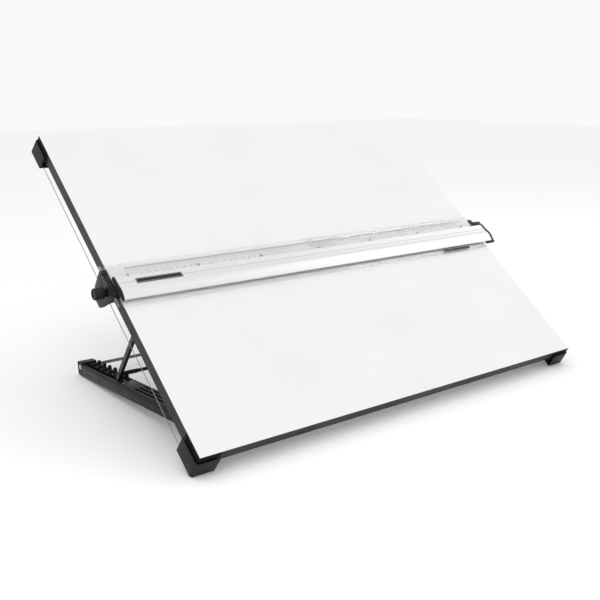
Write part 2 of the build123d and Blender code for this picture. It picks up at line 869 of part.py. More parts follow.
with BuildPart() as rule_extrusion:
    with BuildSketch(Plane.YZ.offset(extrusion_left)):
        make_face(rule_outline(0))
    extrude(amount=extrusion_right - extrusion_left)
    # hollow, one wall in from the outline
    with BuildSketch(Plane.YZ.offset(extrusion_left)):
        make_face(rule_outline(0))
        offset(amount=-extrusion_wall, kind=Kind.INTERSECTION, mode=Mode.REPLACE)
    extrude(amount=extrusion_right - extrusion_left, mode=Mode.SUBTRACT)
    # groove along the band
    with BuildSketch(Plane.YZ.offset(extrusion_left)):
        with Locations((band_y + groove_run, plate_top + band_height)):
            Rectangle(groove_width, 2 * groove_depth)
    extrude(amount=extrusion_right - extrusion_left, mode=Mode.SUBTRACT)
    # shallow seat of the label plate
    with BuildSketch(label_plane.offset(-label_sink)):
        Rectangle(label_length, label_width)
    extrude(amount=extrusion_height, mode=Mode.SUBTRACT)
keep("rule_extrusion", rule_extrusion.part)

with BuildPart() as label_plate:
    with BuildSketch(label_plane.offset(-label_sink)):
        Rectangle(label_length, label_width)
    extrude(amount=label_thickness)
keep("label_plate", label_plate.part)

guide_screw_x = -half_width - guide_outset / 2
guide_screw_points = [
    (guide_screw_x, rule_y + guide_top_front + guide_screw_front),
    (guide_screw_x, rule_y + guide_top_front + guide_screw_rear),
]

with BuildPart() as clear_scale_plate:
    with BuildSketch(Plane.YZ.offset(plate_left)):
        with BuildLine():
            Polyline(
                (rule_y, plate_lift),
                (rule_y + plate_width, plate_lift),
                (rule_y + plate_width, plate_top - plate_bevel_depth),
                (rule_y + plate_width - plate_bevel, plate_top),
                (rule_y + plate_front_bevel, plate_top),
                (rule_y, plate_top - plate_front_bevel),
                close=True,
            )
        make_face()
    extrude(amount=plate_right - plate_left)
    with BuildSketch(Plane.XY.offset(plate_lift)):
        with Locations(*guide_screw_points):
            Circle(screw_radius + press)
    extrude(amount=plate_thickness, mode=Mode.SUBTRACT)
    with BuildSketch(Plane.XY.offset(plate_top)):
        with Locations(*guide_screw_points):
            Circle(screw_head + press)
    extrude(amount=-screw_head_height, mode=Mode.SUBTRACT)
keep("clear_scale_plate", clear_scale_plate.part)

with BuildPart() as lower_strip:
    with BuildSketch(Plane.XY.offset(plate_top)):
        with Locations((half_width - strip_end, rule_y + strip_front)):
            Rectangle(strip_length, strip_width, align=(Align.MAX, Align.MIN))
    extrude(amount=strip_thickness)
keep("lower_strip", lower_strip.part)

with BuildPart() as rule_end_cap_left:
    with BuildSketch(Plane.YZ.offset(extrusion_left)):
        make_face(rule_outline(cap_proud))
    extrude(amount=-end_cap)
keep("rule_end_cap_left", rule_end_cap_left.part)

# The right cap closes the rule and runs round its end and the plate's as a low rim.
rim_x = plate_right + surface_gap
rim_front = band_y - rim_front_reach
rim_length = extrusion_width + rim_front_reach + rim_rear_reach
with BuildPart() as rule_end_cap_right:
    with BuildSketch(Plane.XY.offset(plate_lift)):
        with Locations((rim_x, rim_front)):
            Rectangle(rim_reach, rim_length, align=(Align.MIN, Align.MIN))
        with Locations((rim_x, band_y)):
            Rectangle(extrusion_right - rim_x, rim_length - rim_front_reach - rim_rear_arm,
                      align=(Align.MIN, Align.MIN), mode=Mode.SUBTRACT)
    extrude(amount=rim_height)
    with BuildSketch(Plane.YZ.offset(extrusion_right)):
        make_face(rule_outline(cap_proud))
    extrude(amount=end_cap)
keep("rule_end_cap_right", rule_end_cap_right.part)

knob_y = rule_y + knob_front
guide_x = -half_width - guide_outset
shoe_x = -half_width - slide_gap


def edge_guide():
    """Left guide: a tapering wall along the board's edge and a flange under the board."""
    top_front = rule_y + guide_top_front
    top_rear = top_front + guide_top_length
    foot_front = rule_y + guide_foot_front
    foot_rear = foot_front + guide_foot_length
    flange_front = rule_y + guide_flange_front
    shoe_level = underside - slide_gap
    with BuildPart() as guide:
        with BuildSketch(Plane.YZ.offset(guide_x)) as wall:
            with BuildLine():
                Polyline(
                    (top_front, plate_lift),
                    (top_rear, plate_lift),
                    (top_rear, -guide_rear_drop),
                    (foot_rear, -guide_drop),
                    (foot_front, -guide_drop),
                    (top_front, plate_lift - guide_edge),
                    close=True,
                )
            make_face()
            fillet(wall.vertices().group_by(Axis.Y)[0], guide_round)
        extrude(amount=shoe_x - guide_x)
        # the wire and its clamp pass inside the outer wall
        with BuildSketch(Plane.XZ.offset(-rule_y)):
            with Locations((guide_x + guide_wall, shoe_level - guide_flange_thickness)):
                Rectangle(guide_outset, guide_drop, align=(Align.MIN, Align.MAX))
        extrude(amount=-board_depth / 2, mode=Mode.SUBTRACT)
        # flange under the board
        with BuildSketch(Plane.XY.offset(shoe_level)):
            with Locations((guide_x + guide_wall / 2, flange_front)):
                Rectangle(guide_outset - guide_wall / 2 + guide_flange, guide_flange_length,
                          align=(Align.MIN, Align.MIN))
        extrude(amount=-guide_flange_thickness)
    return guide.part


guide_blank = edge_guide()
with BuildPart() as guide_left:
    add(guide_blank)
    # tapped holes for the plate's screws, the brake screw's bore and its pad's pocket
    with BuildSketch(Plane.XY.offset(plate_lift)):
        with Locations(*guide_screw_points):
            Circle(screw_radius + press)
    extrude(amount=-screw_bite, mode=Mode.SUBTRACT)
    with BuildSketch(Plane.YZ.offset(guide_x)):
        with Locations((knob_y, -knob_drop)):
            Circle(brake_screw_radius + running_fit)
    extrude(amount=guide_outset, mode=Mode.SUBTRACT)
    with BuildSketch(Plane.YZ.offset(shoe_x)):
        with Locations((knob_y, -knob_drop)):
            Circle(brake_pad_radius + press)
    extrude(amount=-brake_pad_thickness - surface_gap, mode=Mode.SUBTRACT)
keep("guide_left", guide_left.part)
keep("guide_right", mirror(guide_blank, about=Plane.YZ))

with BuildPart() as plate_screws:
    with BuildSketch(Plane.XY.offset(plate_top - press)):
        with Locations(*guide_screw_points):
            Circle(screw_head)
    extrude(amount=-screw_head_height + 2 * press)
    with BuildSketch(Plane.XY.offset(plate_top - press)):
        with Locations(*guide_screw_points):
            Circle(screw_radius)
    extrude(amount=-screw_bite)
keep("plate_screws", plate_screws.part)

# The glide pads lie under the aluminium rule, two near each end.
with BuildPart() as glide_pads:
    with BuildSketch(Plane.XY.offset(surface_gap)):
        with Locations((0, band_y + glide_run + glide_spacing / 2)):
            with GridLocations(board_width - 2 * glide_inset, glide_spacing, 2, 2):
                Circle(glide_radius)
    extrude(amount=plate_lift - surface_gap)
keep("glide_pads", glide_pads.part)


def wire_clamp():
    """Left clamp under the guide's flange: two jaws and a web round the wire."""
    gap = 2 * (wire_radius + surface_gap)
    top = underside - slide_gap - guide_flange_thickness
    bottom = -pulley_level_b - wire_radius - surface_gap - clamp_jaw
    clamp_place = (-run_x, rule_y + guide_flange_front + guide_flange_length / 2)
    with BuildPart() as clamp:
        with BuildSketch(Plane.XY.offset(bottom)):
            with Locations(clamp_place):
                Rectangle(gap + 2 * clamp_jaw, clamp_length)
        extrude(amount=top - bottom)
        with BuildSketch(Plane.XY.offset(bottom + clamp_jaw)):
            with Locations(clamp_place):
                Rectangle(gap, clamp_length)
        extrude(amount=top - bottom, mode=Mode.SUBTRACT)
    return clamp.part


clamp_left = wire_clamp()
keep("wire_clamps", left_right(clamp_left))

knob_face = guide_x - surface_gap
knob_plane = Plane(origin=(knob_face, knob_y, -knob_drop), x_dir=(0, 1, 0), z_dir=(-1, 0, 0))
grip_depth = hub_length + brake_screw_grip
with BuildPart() as brake_knob:
    with BuildSketch(knob_plane):
        Circle(hub_radius)
    extrude(amount=hub_length)
    with BuildSketch(knob_plane.offset(hub_length)):
        Circle(knob_radius)
    extrude(amount=knob_thickness)
    fillet(brake_knob.faces().sort_by(Axis.X)[0].edges(), knob_round)
    with BuildSketch(knob_plane.offset(hub_length + knob_thickness)):
        Circle(knob_dish)
    extrude(amount=-knob_dish_depth, mode=Mode.SUBTRACT)
    with BuildSketch(knob_plane):
        Circle(brake_screw_radius + press)
    extrude(amount=grip_depth, mode=Mode.SUBTRACT)
keep("brake_knob", brake_knob.part)

screw_tip = shoe_x - brake_pad_thickness - 2 * surface_gap
with BuildPart() as brake_screw:
    with BuildSketch(Plane.YZ.offset(screw_tip)):
        with Locations((knob_y, -knob_drop)):
            Circle(brake_screw_radius)
    extrude(amount=knob_face - grip_depth - screw_tip)
keep("brake_screw", brake_screw.part)

with BuildPart() as brake_pad:
    with BuildSketch(Plane.YZ.offset(shoe_x - brake_pad_thickness)):
        with Locations((knob_y, -knob_drop)):
            Circle(brake_pad_radius)
    extrude(amount=brake_pad_thickness)
keep("brake_pad", brake_pad.part)

# =====================================================================
# Standing pose and output
# =====================================================================

# Tilt the board, hang the leg frame from its hinge, and put the origin under the middle
# of the whole object, on the table.
board_place = Location((0, 0, 0), (board_tilt, 0, 0))
leg_place = board_place * Location((0, leg_hinge[0], leg_hinge[1]), (-leg_angle, 0, 0))
frames = {"board": board_place, "leg": leg_place}
standing = {name: frames[frame] * part for name, (part, frame) in pieces.items()}
boxes = [part.bounding_box() for part in standing.values()]
low = [min(tuple(box.min)[axis] for box in boxes) for axis in range(3)]
high = [max(tuple(box.max)[axis] for box in boxes) for axis in range(3)]
origin = Location((-(low[0] + high[0]) / 2, -(low[1] + high[1]) / 2, -low[2]))
size = [top - bottom for top, bottom in zip(high, low)]

for name, part in standing.items():
    piece = origin * part
    piece.label = name
    export_step(piece, f"parts/{name}.step")

print(f"pieces {len(standing)}, tilt {board_tilt:.2f}, leg angle {leg_angle:.3f}")
print(f"prop length {prop_length:.3f}, wire length {wire_length:.1f}")
print("origin", origin.position, "size", [round(side, 2) for side in size])
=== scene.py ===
import json
import math

import bpy
from bpy.props import FloatProperty, FloatVectorProperty, IntProperty, PointerProperty
from mathutils import Matrix, Vector

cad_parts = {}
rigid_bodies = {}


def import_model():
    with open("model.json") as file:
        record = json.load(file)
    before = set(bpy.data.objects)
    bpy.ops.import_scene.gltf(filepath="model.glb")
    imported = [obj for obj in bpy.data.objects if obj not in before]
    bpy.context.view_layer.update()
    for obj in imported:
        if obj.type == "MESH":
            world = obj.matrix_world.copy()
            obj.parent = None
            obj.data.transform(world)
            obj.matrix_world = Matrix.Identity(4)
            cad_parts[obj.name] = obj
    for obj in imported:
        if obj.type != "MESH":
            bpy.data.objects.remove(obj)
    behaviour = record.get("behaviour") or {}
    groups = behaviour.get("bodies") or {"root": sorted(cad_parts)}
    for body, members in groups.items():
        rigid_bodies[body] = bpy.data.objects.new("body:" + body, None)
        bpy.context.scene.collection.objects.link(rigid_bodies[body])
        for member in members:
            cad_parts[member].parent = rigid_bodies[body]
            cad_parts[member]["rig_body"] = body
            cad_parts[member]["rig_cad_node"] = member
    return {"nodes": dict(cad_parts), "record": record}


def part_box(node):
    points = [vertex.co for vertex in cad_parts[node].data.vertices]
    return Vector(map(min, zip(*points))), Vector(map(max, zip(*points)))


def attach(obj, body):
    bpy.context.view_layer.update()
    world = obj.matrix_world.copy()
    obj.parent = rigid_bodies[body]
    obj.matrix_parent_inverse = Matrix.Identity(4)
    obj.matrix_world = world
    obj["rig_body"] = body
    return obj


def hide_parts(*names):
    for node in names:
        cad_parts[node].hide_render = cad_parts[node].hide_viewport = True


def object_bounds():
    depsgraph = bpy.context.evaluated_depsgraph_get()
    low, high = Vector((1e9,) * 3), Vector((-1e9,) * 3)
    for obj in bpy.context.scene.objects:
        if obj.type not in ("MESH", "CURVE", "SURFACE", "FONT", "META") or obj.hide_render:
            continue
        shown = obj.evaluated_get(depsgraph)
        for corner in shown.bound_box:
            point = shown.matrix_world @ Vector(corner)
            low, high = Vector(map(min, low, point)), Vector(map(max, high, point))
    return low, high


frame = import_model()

bl_info = {
    "name": "Portable drawing board",
    "version": (1, 0, 0),
    "blender": (4, 5, 0),
    "location": "View3D > Sidebar > Drawing Board",
    "description": "Finishes, scale and eased mouldings of a portable drawing board",
    "category": "Object",
}

CAD_BOX = [[float(value) for value in corner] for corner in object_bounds()]

# ---- the board's own frame: x right, y up the board, z out of its surface ----
SURFACE = frame["record"]["mounts"][0]
NORMAL = Vector(SURFACE["axis"]).normalized()
ACROSS = Vector((1, 0, 0))
UP_BOARD = NORMAL.cross(ACROSS).normalized()
MM = 0.001

# ---- printed scale and label plate ----
TICK_LENGTHS = {1: 2.4 * MM, 5: 3.6 * MM, 10: 5.0 * MM}
TICKS_FROM_REAR = 8.6 * MM
FIGURES_FROM_REAR = 20.5 * MM
FIGURE_FONT_RATIO = 1.4
SMALL_FIGURE = 0.62
BOLD_OFFSET = 0.00012
BORDER_INSET = 1.1 * MM
BORDER_LINE = 0.3 * MM
BORDER_PROUD = 0.06 * MM

# ---- eased mouldings ----
MOULDING_EASE = 0.5 * MM
LEG_EASE = 0.45 * MM
WELD_DISTANCE = 0.01 * MM
FLAT_ANGLE = math.radians(2.0)
SHARP_ANGLE = math.radians(32)
SMOOTH_ANGLE = math.radians(35)

# ---- studio ----
FLOOR_SIZE = 14.0
FLOOR_GAP = 0.0004
LIGHT_SIZE = 1.6
LIGHT_AIM = (0, 0, 0.1)
KEY_PLACE = (-1.2, -1.0, 1.9)
FILL_PLACE = (1.6, -0.6, 1.2)
FILL_SHARE = 0.4
CAMERA_FROM_CORNER = Vector((-0.4081, -0.7276, 0.39205))
CAMERA_FORWARD = Vector((0.5791, 0.7756, -0.2513)).normalized()
SENSOR_WIDTH = 36.0


def box_middle(node):
    """Middle of a CAD node's box."""
    low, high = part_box(node)
    return (low + high) / 2


def box_size(node):
    """Size of a CAD node's box."""
    low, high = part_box(node)
    return high - low


WIDTH = box_size("edge_band_front").x
LAMINATE_MIDDLE = box_middle("top_laminate")
SURFACE_LIFT = (Vector(SURFACE["pos_m"]) - LAMINATE_MIDDLE).dot(NORMAL)
BOARD_CENTRE = LAMINATE_MIDDLE + NORMAL * SURFACE_LIFT
TILT = math.atan2(UP_BOARD.z, UP_BOARD.y)


def span(node, direction):
    """Least and greatest reach of a CAD node along a direction, from the board's centre."""
    reach = [(v.co - BOARD_CENTRE).dot(direction) for v in frame["nodes"][node].data.vertices]
    return min(reach), max(reach)


def on_board(x, y, z):
    """A place in the board's own frame, in metres from the middle of its surface."""
    return BOARD_CENTRE + ACROSS * x + UP_BOARD * y + NORMAL * z


BOARD_TURN = Matrix((ACROSS, UP_BOARD, NORMAL)).transposed().to_4x4()
BOARD_PLACE = Matrix.Translation(BOARD_CENTRE) @ BOARD_TURN


# =====================================================================
# Settings that a user would change
# =====================================================================


def colour(name, description, default):
    return FloatVectorProperty(
        name=name, description=description, default=default, size=3, subtype="COLOR", min=0, max=1
    )


class BoardFinish(bpy.types.PropertyGroup):
    """Colours of the board's surfaces."""

    laminate: colour("Laminate", "Drawing surface", (0.768, 0.757, 0.744))
    backing: colour("Backing", "Laminate on the underside", (0.42, 0.41, 0.40))
    band: colour("Edge band", "Plastic bands on the four edges", (0.015, 0.0125, 0.0148))
    moulding: colour("Moulding", "Black moulded parts", (0.0065, 0.0058, 0.0075))
    leg: colour("Leg", "Moulded legs of the stand", (0.0085, 0.008, 0.0095))
    anodised: colour("Anodised rule", "Aluminium extrusion", (0.78, 0.777, 0.78))
    rod: colour("Rod", "Yellow zinc plate of the rod", (0.26, 0.20, 0.145))
    ink: colour("Ink", "Printed scale", (0.045, 0.028, 0.024))


class ScaleSizes(bpy.types.PropertyGroup):
    """Sizes of the printed scale."""

    length: FloatProperty(
        name="Length", description="Graduated length", default=0.600, unit="LENGTH"
    )
    zero_inset: FloatProperty(
        name="Zero inset", description="Zero mark from the board's left edge",
        default=0.0215, unit="LENGTH",
    )
    line_width: FloatProperty(
        name="Line width", description="Width of a printed line", default=0.00022, unit="LENGTH"
    )
    ink_depth: FloatProperty(
        name="Ink depth", description="Thickness of the print", default=0.00004, unit="LENGTH"
    )
    figure_height: FloatProperty(
        name="Figure height", description="Height of the large figures",
        default=0.0042, unit="LENGTH",
    )


class StageSettings(bpy.types.PropertyGroup):
    """Light and camera of the studio."""

    lens: FloatProperty(name="Lens", description="Focal length in millimetres", default=49.75)
    ambient: FloatProperty(name="Ambient", description="Strength of the room's light", default=0.95)
    key: FloatProperty(name="Key light", description="Power of the large soft light", default=12.0)
    floor_tone: FloatProperty(name="Floor", description="Brightness of the floor", default=0.96)
    bevel_steps: IntProperty(
        name="Bevel steps", description="Segments in the eased edges", default=2, min=1, max=4
    )


def finish():
    return bpy.context.scene.board_finish


# =====================================================================
# Small modelling helpers
# =====================================================================


def deselect_all():
    """Leave edit mode and select nothing."""
    if bpy.context.object and bpy.context.object.mode != "OBJECT":
        bpy.ops.object.mode_set(mode="OBJECT")
    bpy.ops.object.select_all(action="DESELECT")


def make_active(obj):
    deselect_all()
    obj.select_set(True)
    bpy.context.view_layer.objects.active = obj


def settle(obj):
    """Put an object's place, turn and scale into its mesh."""
    make_active(obj)
    bpy.ops.object.transform_apply(location=True, rotation=True, scale=True)
    return obj


def join(objects, name):
    """One mesh object from several."""
    deselect_all()
    for obj in objects:
        obj.select_set(True)
    bpy.context.view_layer.objects.active = objects[0]
    if len(objects) > 1:
        bpy.ops.object.join()
    joined = bpy.context.view_layer.objects.active
    joined.name = name
    joined.data.name = name
    return joined


def paint(obj, material):
    """One material over the whole object."""
    obj.data.materials.clear()
    obj.data.materials.append(material)
    return obj


def install(obj, body, material):
    """Paint a finished piece and let it ride on its body."""
    paint(obj, material)
    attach(obj, body)
    return obj


def node_body(node):
    """The body that a CAD node belongs to."""
    for body, members in frame["record"]["behaviour"]["bodies"].items():
        if node in members:
            return body
    raise RuntimeError(f"{node} is on no body")


def eased_copy(node, width, steps, material):
    """A moulding with softened edges that stands for a sharp-edged CAD node."""
    source = frame["nodes"][node]
    piece = source.copy()
    piece.data = source.data.copy()
    piece.name = node + "_moulding"
    piece.parent = None
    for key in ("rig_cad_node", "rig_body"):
        if key in piece:
            del piece[key]
    bpy.context.scene.collection.objects.link(piece)
    make_active(piece)
    bpy.ops.object.mode_set(mode="EDIT")
    bpy.ops.mesh.select_all(action="SELECT")
    bpy.ops.mesh.remove_doubles(threshold=WELD_DISTANCE)
    bpy.ops.mesh.dissolve_limited(angle_limit=FLAT_ANGLE)
    bpy.ops.mesh.normals_make_consistent(inside=False)
    bpy.ops.object.mode_set(mode="OBJECT")
    bevel = piece.modifiers.new("eased edges", "BEVEL")
    bevel.width = width
    bevel.segments = steps
    bevel.limit_method = "ANGLE"
    bevel.angle_limit = SHARP_ANGLE
    bevel.use_clamp_overlap = True
    bevel.harden_normals = False
    bpy.ops.object.modifier_apply(modifier=bevel.name)
    bpy.ops.object.shade_smooth_by_angle(angle=SMOOTH_ANGLE)
    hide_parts(node)
    return install(piece, node_body(node), material)


# =====================================================================
# Shader node groups
# =====================================================================


def socket(group, name, direction, kind, default=None):
    item = group.interface.new_socket(name=name, in_out=direction, socket_type=kind)
    if default is not None:
        item.default_value = default


def node(tree, kind, inputs=None, **settings):
    """A node with its settings and its unlinked input values."""
    made = tree.nodes.new(kind)
    for key, value in settings.items():
        setattr(made, key, value)
    for key, value in (inputs or {}).items():
        made.inputs[key].default_value = value
    return made


def noise(tree, vector, scale, detail=2.0, roughness=0.5):
    made = node(tree, "ShaderNodeTexNoise",
                {"Scale": scale, "Detail": detail, "Roughness": roughness})
    tree.links.new(vector, made.inputs["Vector"])
    return made


def map_range(tree, value, low, high, to_low, to_high):
    made = node(tree, "ShaderNodeMapRange",
                {"From Min": low, "From Max": high, "To Min": to_low, "To Max": to_high})
    tree.links.new(value, made.inputs["Value"])
    return made.outputs["Result"]


def moulded_grain_group():
    """Fine spark-eroded texture of moulded plastic, with broad variation of its sheen."""
    group = bpy.data.node_groups.new("moulded_grain", "ShaderNodeTree")
    socket(group, "Vector", "INPUT", "NodeSocketVector")
    socket(group, "Grain Scale", "INPUT", "NodeSocketFloat", 1400.0)
    socket(group, "Height", "OUTPUT", "NodeSocketFloat")
    socket(group, "Sheen Mask", "OUTPUT", "NodeSocketFloat")
    into = node(group, "NodeGroupInput")
    out = node(group, "NodeGroupOutput")
    fine = node(group, "ShaderNodeTexNoise", {"Detail": 3.0, "Roughness": 0.6})
    group.links.new(into.outputs["Vector"], fine.inputs["Vector"])
    group.links.new(into.outputs["Grain Scale"], fine.inputs["Scale"])
    broad = noise(group, into.outputs["Vector"], 28.0, 4.0)
    mask = map_range(group, broad.outputs["Fac"], 0.35, 0.7, 0.0, 1.0)
    group.links.new(fine.outputs["Fac"], out.inputs["Height"])
    group.links.new(mask, out.inputs["Sheen Mask"])
    return group


def drawn_lines_group():
    """Fine lines along one direction, as left by drawing, extruding or brushing."""
    group = bpy.data.node_groups.new("drawn_lines", "ShaderNodeTree")
    socket(group, "Vector", "INPUT", "NodeSocketVector")
    socket(group, "Line Scale", "INPUT", "NodeSocketFloat", 3000.0)
    socket(group, "Height", "OUTPUT", "NodeSocketFloat")
    socket(group, "Streak Mask", "OUTPUT", "NodeSocketFloat")
    into = node(group, "NodeGroupInput")
    out = node(group, "NodeGroupOutput")
    stretch = node(group, "ShaderNodeMapping", {"Scale": (0.012, 1.0, 1.0)})
    group.links.new(into.outputs["Vector"], stretch.inputs["Vector"])
    fine = node(group, "ShaderNodeTexNoise", {"Detail": 2.0})
    group.links.new(stretch.outputs["Vector"], fine.inputs["Vector"])
    group.links.new(into.outputs["Line Scale"], fine.inputs["Scale"])
    streak = noise(group, stretch.outputs["Vector"], 260.0, 3.0)
    mask = map_range(group, streak.outputs["Fac"], 0.3, 0.7, 0.0, 1.0)
    group.links.new(fine.outputs["Fac"], out.inputs["Height"])
    group.links.new(mask, out.inputs["Streak Mask"])
    return group


def handling_group():
    """Soft smudges from hands, and sparse short scuffs."""
    group = bpy.data.node_groups.new("handling_marks", "ShaderNodeTree")
    socket(group, "Vector", "INPUT", "NodeSocketVector")
    socket(group, "Smudge Scale", "INPUT", "NodeSocketFloat", 14.0)
    socket(group, "Smudges", "OUTPUT", "NodeSocketFloat")
    socket(group, "Scuffs", "OUTPUT", "NodeSocketFloat")
    into = node(group, "NodeGroupInput")
    out = node(group, "NodeGroupOutput")
    soft = node(group, "ShaderNodeTexNoise", {"Detail": 5.0, "Roughness": 0.55})
    group.links.new(into.outputs["Vector"], soft.inputs["Vector"])
    group.links.new(into.outputs["Smudge Scale"], soft.inputs["Scale"])
    smudge = map_range(group, soft.outputs["Fac"], 0.42, 0.68, 0.0, 1.0)
    lean = node(group, "ShaderNodeMapping", {"Rotation": (0.0, 0.0, 0.7), "Scale": (1.0, 9.0, 1.0)})
    group.links.new(into.outputs["Vector"], lean.inputs["Vector"])
    cells = node(group, "ShaderNodeTexVoronoi", {"Scale": 34.0}, feature="DISTANCE_TO_EDGE")
    group.links.new(lean.outputs["Vector"], cells.inputs["Vector"])
    scuff = map_range(group, cells.outputs["Distance"], 0.0, 0.018, 1.0, 0.0)
    group.links.new(smudge, out.inputs["Smudges"])
    group.links.new(scuff, out.inputs["Scuffs"])
    return group


GROUPS = {}


def build_groups():
    GROUPS["grain"] = moulded_grain_group()
    GROUPS["lines"] = drawn_lines_group()
    GROUPS["handling"] = handling_group()


# =====================================================================
# Materials
# =====================================================================


def new_material(name, roughness, metallic=0.0, **sockets):
    """A material with its Principled BSDF, the constants set on the shader's own sockets."""
    material = bpy.data.materials.new(name)
    material.use_nodes = True
    tree = material.node_tree
    shader = tree.nodes["Principled BSDF"]
    shader.inputs["Roughness"].default_value = roughness
    shader.inputs["Metallic"].default_value = metallic
    for key, value in sockets.items():
        shader.inputs[key.replace("_", " ")].default_value = value
    place = node(tree, "ShaderNodeTexCoord")
    return material, tree, shader, place.outputs["Object"]


def use_group(tree, name, vector, inputs=None):
    made = node(tree, "ShaderNodeGroup")
    made.node_tree = GROUPS[name]
    for key, value in (inputs or {}).items():
        made.inputs[key].default_value = value
    tree.links.new(vector, made.inputs["Vector"])
    return made


def blend_colours(tree, mask, first, second, target):
    mix = node(tree, "ShaderNodeMix", data_type="RGBA")
    mix.inputs["A"].default_value = (*first, 1.0)
    mix.inputs["B"].default_value = (*second, 1.0)
    tree.links.new(mask, mix.inputs["Factor"])
    tree.links.new(mix.outputs["Result"], target)
    return mix


def bump(tree, shader, height, strength, distance):
    made = node(tree, "ShaderNodeBump", {"Strength": strength, "Distance": distance})
    tree.links.new(height, made.inputs["Height"])
    tree.links.new(made.outputs["Normal"], shader.inputs["Normal"])
    return made


def shade(base, factor):
    """A colour made darker or lighter."""
    return tuple(min(1.0, channel * factor) for channel in base)


def plastic(name, base, low, high, grain_scale, strength, variation=1.25, shine=0.25):
    """Moulded plastic: grain in the surface, sheen that varies between two roughnesses."""
    material, tree, shader, place = new_material(
        name, (low + high) / 2, Specular_IOR_Level=shine
    )
    grain = use_group(tree, "grain", place, {"Grain Scale": grain_scale})
    marks = use_group(tree, "handling", place, {"Smudge Scale": 40.0})
    blend_colours(tree, grain.outputs["Sheen Mask"], base, shade(base, variation),
                  shader.inputs["Base Color"])
    rough = map_range(tree, marks.outputs["Smudges"], 0.0, 1.0, low, high)
    tree.links.new(rough, shader.inputs["Roughness"])
    bump(tree, shader, grain.outputs["Height"], strength, 0.0001)
    return material


def metal(name, base, low, high, line_scale, strength, metallic=1.0, variation=0.86):
    """Drawn or brushed metal: lines along its length, streaks in tone and roughness."""
    material, tree, shader, place = new_material(name, (low + high) / 2, metallic)
    lines = use_group(tree, "lines", place, {"Line Scale": line_scale})
    blend_colours(tree, lines.outputs["Streak Mask"], base, shade(base, variation),
                  shader.inputs["Base Color"])
    rough = map_range(tree, lines.outputs["Streak Mask"], 0.0, 1.0, low, high)
    tree.links.new(rough, shader.inputs["Roughness"])
    bump(tree, shader, lines.outputs["Height"], strength, 0.00005)
    return material


def white_laminate():
    """Melamine surface: warm white, slightly pebbled, with faint smudges."""
    base = tuple(finish().laminate)
    material, tree, shader, place = new_material("white_laminate", 0.42, Specular_IOR_Level=0.45)
    marks = use_group(tree, "handling", place, {"Smudge Scale": 9.0})
    grain = use_group(tree, "grain", place, {"Grain Scale": 950.0})
    blend_colours(tree, marks.outputs["Smudges"], base, shade(base, 0.975),
                  shader.inputs["Base Color"])
    rough = map_range(tree, marks.outputs["Smudges"], 0.0, 1.0, 0.38, 0.52)
    tree.links.new(rough, shader.inputs["Roughness"])
    bump(tree, shader, grain.outputs["Height"], 0.10, 0.00012)
    return material


def particle_board():
    """Pressed wood particles of the core."""
    material, tree, shader, place = new_material("particle_board", 0.9)
    flakes = node(tree, "ShaderNodeTexVoronoi", {"Scale": 520.0})
    tree.links.new(place, flakes.inputs["Vector"])
    fade = map_range(tree, flakes.outputs["Distance"], 0.0, 0.8, 0.0, 1.0)
    blend_colours(tree, fade, (0.47, 0.33, 0.19), (0.24, 0.15, 0.08), shader.inputs["Base Color"])
    bump(tree, shader, flakes.outputs["Distance"], 0.4, 0.0003)
    return material


def clear_acrylic():
    """Polished clear plastic with a faint cool tint and hairline scuffs."""
    material, tree, shader, place = new_material(
        "clear_acrylic", 0.04, IOR=1.28, Transmission_Weight=1.0, Alpha=0.45,
        Base_Color=(0.98, 0.985, 0.98, 1.0),
    )
    marks = use_group(tree, "handling", place, {"Smudge Scale": 60.0})
    rough = map_range(tree, marks.outputs["Scuffs"], 0.0, 1.0, 0.03, 0.11)
    tree.links.new(rough, shader.inputs["Roughness"])
    return material


def stranded_wire():
    """Thin steel wire: the lay of its strands shows as slanted bands."""
    material, tree, shader, place = new_material("wire_steel", 0.4, 0.9)
    lean = node(tree, "ShaderNodeMapping", {"Rotation": (TILT, 0.0, 0.6)})
    tree.links.new(place, lean.inputs["Vector"])
    bands = node(tree, "ShaderNodeTexWave", {"Scale": 420.0, "Distortion": 0.4})
    tree.links.new(lean.outputs["Vector"], bands.inputs["Vector"])
    blend_colours(tree, bands.outputs["Fac"], (0.16, 0.16, 0.17), (0.34, 0.34, 0.35),
                  shader.inputs["Base Color"])
    bump(tree, shader, bands.outputs["Fac"], 0.5, 0.0001)
    return material


def yellow_zinc():
    """Yellow passivated zinc: drawn lines under a faint shift of hue."""
    base = tuple(finish().rod)
    material = metal("yellow_zinc", base, 0.24, 0.38, 2600.0, 0.25, 0.9, 0.8)
    tree = material.node_tree
    shader = tree.nodes["Principled BSDF"]
    place = tree.nodes["Texture Coordinate"].outputs["Object"]
    hue = noise(tree, place, 90.0, 3.0)
    blend_colours(tree, hue.outputs["Fac"], base, (base[0] * 0.9, base[1] * 1.05, base[2] * 1.25),
                  shader.inputs["Base Color"])
    return material


def pressed_felt():
    """Felt of the glides: short fibres."""
    material, tree, shader, place = new_material("glide_felt", 0.95)
    fibres = noise(tree, place, 2400.0, 5.0, 0.7)
    blend_colours(tree, fibres.outputs["Fac"], (0.75, 0.75, 0.72), (0.5, 0.5, 0.48),
                  shader.inputs["Base Color"])
    bump(tree, shader, fibres.outputs["Fac"], 0.8, 0.0003)
    return material


def printed_ink():
    """Dark brown print, slightly uneven."""
    ink = tuple(finish().ink)
    material, tree, shader, place = new_material("printed_ink", 0.5)
    patch = noise(tree, place, 900.0, 2.0)
    blend_colours(tree, patch.outputs["Fac"], ink, shade(ink, 1.6), shader.inputs["Base Color"])
    return material


